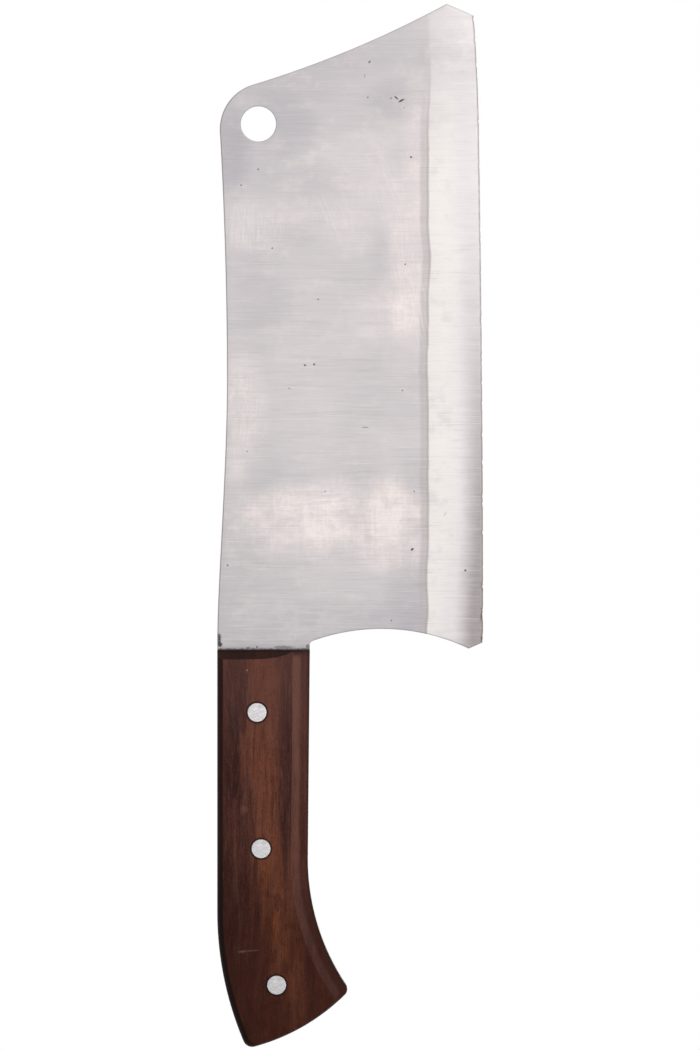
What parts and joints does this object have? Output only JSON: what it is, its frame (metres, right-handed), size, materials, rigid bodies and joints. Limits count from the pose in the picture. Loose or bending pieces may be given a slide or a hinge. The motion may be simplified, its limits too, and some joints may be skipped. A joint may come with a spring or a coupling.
{
  "type": "meat cleaver",
  "caption": "Heavy meat cleaver with a broad ground blade, a hanging hole in the top corner and a riveted wooden handle with a flared butt.",
  "frame": {"origin": "centre of the hanging hole, on the middle plane of the blade", "axes": "+Z from the butt of the handle to the tip, +X from the spine to the cutting edge, -Y out of the front face"},
  "size_m": [0.094, 0.0216, 0.3688],
  "materials": {
    "satin_steel": "satin, brushed across the blade, with fine scratches",
    "dark_wood": "oiled and worn dark hardwood, grain along the handle",
    "rivet_metal": "sanded flush with the wood"
  },
  "bodies": {
    "root": {"blade": "satin_steel", "front_scale": "dark_wood", "back_scale": "dark_wood", "upper_rivet_sleeve": "rivet_metal", "middle_rivet_sleeve": "rivet_metal", "lower_rivet_sleeve": "rivet_metal", "upper_rivet_post": "rivet_metal", "middle_rivet_post": "rivet_metal", "lower_rivet_post": "rivet_metal"}
  },
  "joints": []
}
